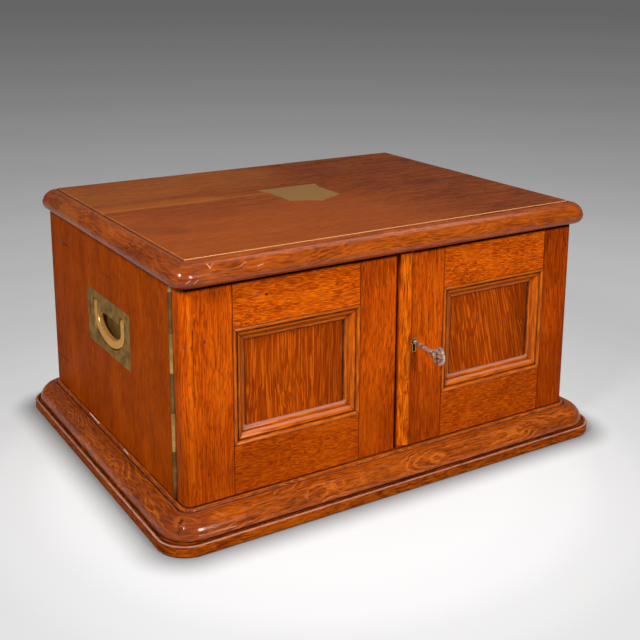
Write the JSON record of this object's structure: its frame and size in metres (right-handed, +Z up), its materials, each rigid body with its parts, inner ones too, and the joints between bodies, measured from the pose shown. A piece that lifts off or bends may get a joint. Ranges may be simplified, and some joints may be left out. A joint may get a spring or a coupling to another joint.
{
  "type": "cutlery canteen",
  "caption": "Table-top oak cutlery cabinet with a fixed moulded top, a moulded plinth, two panelled doors on strip hinges, baize-fitted drawers and flush brass side handles.",
  "frame": {"origin": "centre of the plinth's footprint, on the surface that the cabinet stands on", "axes": "+X to the right seen from the front, +Y to the back, +Z up"},
  "size_m": [0.5346, 0.4452, 0.2713],
  "materials": {
    "oak_top": "polished oak, brown red",
    "oak_moulding": "polished oak, orange red",
    "oak_side": "polished oak, faint vertical grain",
    "oak_door": "polished oak, orange",
    "oak_panel": "polished oak with ray figure",
    "oak_bead": "polished oak, light orange",
    "oak_inner": "bare oak, satin",
    "brass": "aged brass",
    "brass_handle": "dull brass",
    "steel": "worn steel",
    "baize": "green baize over a thin board"
  },
  "bodies": {
    "case": {"back_panel": "oak_panel", "base_board": "oak_inner", "case_bottom": "oak_inner", "case_screws": "brass", "drawer_runners": "oak_inner", "glue_blocks": "oak_inner", "handle_pins": "brass_handle", "left_handle_plate": "brass_handle", "left_hinge_case_leaf": "brass", "left_side": "oak_side", "plinth_moulding": "oak_moulding", "plinth_strips": "oak_moulding", "right_handle_plate": "brass_handle", "right_hinge_case_leaf": "brass", "right_side": "oak_side", "shield_plate": "brass", "top_boards": "oak_top", "top_edge_moulding": "oak_moulding", "top_lining": "oak_inner"},
    "left_door": {"left_door_hinge_stile": "oak_door", "left_door_meeting_stile": "oak_door", "left_door_top_rail": "oak_door", "left_door_bottom_rail": "oak_door", "left_door_panel": "oak_panel", "left_door_panel_moulding": "oak_door", "left_hinge_door_leaf": "brass", "left_hinge_pin": "brass", "left_door_screws": "brass", "strike_plate": "brass", "left_door_bolt_plate": "brass"},
    "left_bolt": {"left_door_bolt": "brass"},
    "right_door": {"right_door_hinge_stile": "oak_door", "right_door_lock_stile": "oak_door", "right_door_top_rail": "oak_door", "right_door_bottom_rail": "oak_door", "right_door_panel": "oak_panel", "right_door_panel_moulding": "oak_door", "right_door_meeting_bead": "oak_bead", "right_hinge_door_leaf": "brass", "right_hinge_pin": "brass", "right_door_screws": "brass", "lock_case": "brass", "escutcheon": "brass"},
    "lock_bolt_body": {"lock_bolt": "steel"},
    "key_body": {"key": "steel"},
    "left_bail": {"left_handle_bail": "brass_handle"},
    "right_bail": {"right_handle_bail": "brass_handle"},
    "bottom_drawer": {"bottom_drawer_front": "oak_door", "bottom_drawer_box": "oak_inner", "bottom_drawer_insert": "baize", "bottom_drawer_pulls": "brass"},
    "middle_drawer": {"middle_drawer_front": "oak_door", "middle_drawer_box": "oak_inner", "middle_drawer_insert": "baize", "middle_drawer_pulls": "brass"},
    "top_drawer": {"top_drawer_front": "oak_door", "top_drawer_box": "oak_inner", "top_drawer_insert": "baize", "top_drawer_pulls": "brass"}
  },
  "joints": [
    {"name": "right_door_swing", "type": "hinge", "parent": "case", "child": "right_door", "pos_m": [0.2375, -0.1617, 0.13965], "axis": [0, 0, 1], "range_deg": [0, 170]},
    {"name": "left_door_swing", "type": "hinge", "parent": "case", "child": "left_door", "pos_m": [-0.2375, -0.1617, 0.13965], "axis": [0, 0, -1], "range_deg": [0, 170]},
    {"name": "key_turn", "type": "hinge", "parent": "right_door", "child": "key_body", "pos_m": [0.021, -0.1775, 0.148], "axis": [0, -0.9983, -0.0576], "range_deg": [0, 360]},
    {"name": "lock_bolt_slide", "type": "slide", "parent": "right_door", "child": "lock_bolt_body", "axis": [-1, 0, 0], "range_m": [0, 0.006]},
    {"name": "left_bolt_slide", "type": "slide", "parent": "left_door", "child": "left_bolt", "axis": [0, 0, 1], "range_m": [0, 0.007]},
    {"name": "left_bail_swing", "type": "hinge", "parent": "case", "child": "left_bail", "pos_m": [-0.2337, 0.003, 0.1701], "axis": [0, 1, 0], "range_deg": [0, 90]},
    {"name": "right_bail_swing", "type": "hinge", "parent": "case", "child": "right_bail", "pos_m": [0.2337, 0.003, 0.1701], "axis": [0, -1, 0], "range_deg": [0, 90]},
    {"name": "bottom_drawer_slide", "type": "slide", "parent": "case", "child": "bottom_drawer", "axis": [0, -1, 0], "range_m": [0, 0.2]},
    {"name": "middle_drawer_slide", "type": "slide", "parent": "case", "child": "middle_drawer", "axis": [0, -1, 0], "range_m": [0, 0.2]},
    {"name": "top_drawer_slide", "type": "slide", "parent": "case", "child": "top_drawer", "axis": [0, -1, 0], "range_m": [0, 0.2]}
  ],
  "couplings": [
    {"joint": "left_door_swing", "follows": "right_door_swing", "ratio": 1},
    {"joint": "lock_bolt_slide", "follows": "key_turn", "m_per_rad": 0.00095492},
    {"joint": "bottom_drawer_slide", "follows": "right_door_swing", "m_per_rad": 0.053925},
    {"joint": "middle_drawer_slide", "follows": "right_door_swing", "m_per_rad": 0.038759},
    {"joint": "top_drawer_slide", "follows": "right_door_swing", "m_per_rad": 0.023592}
  ]
}
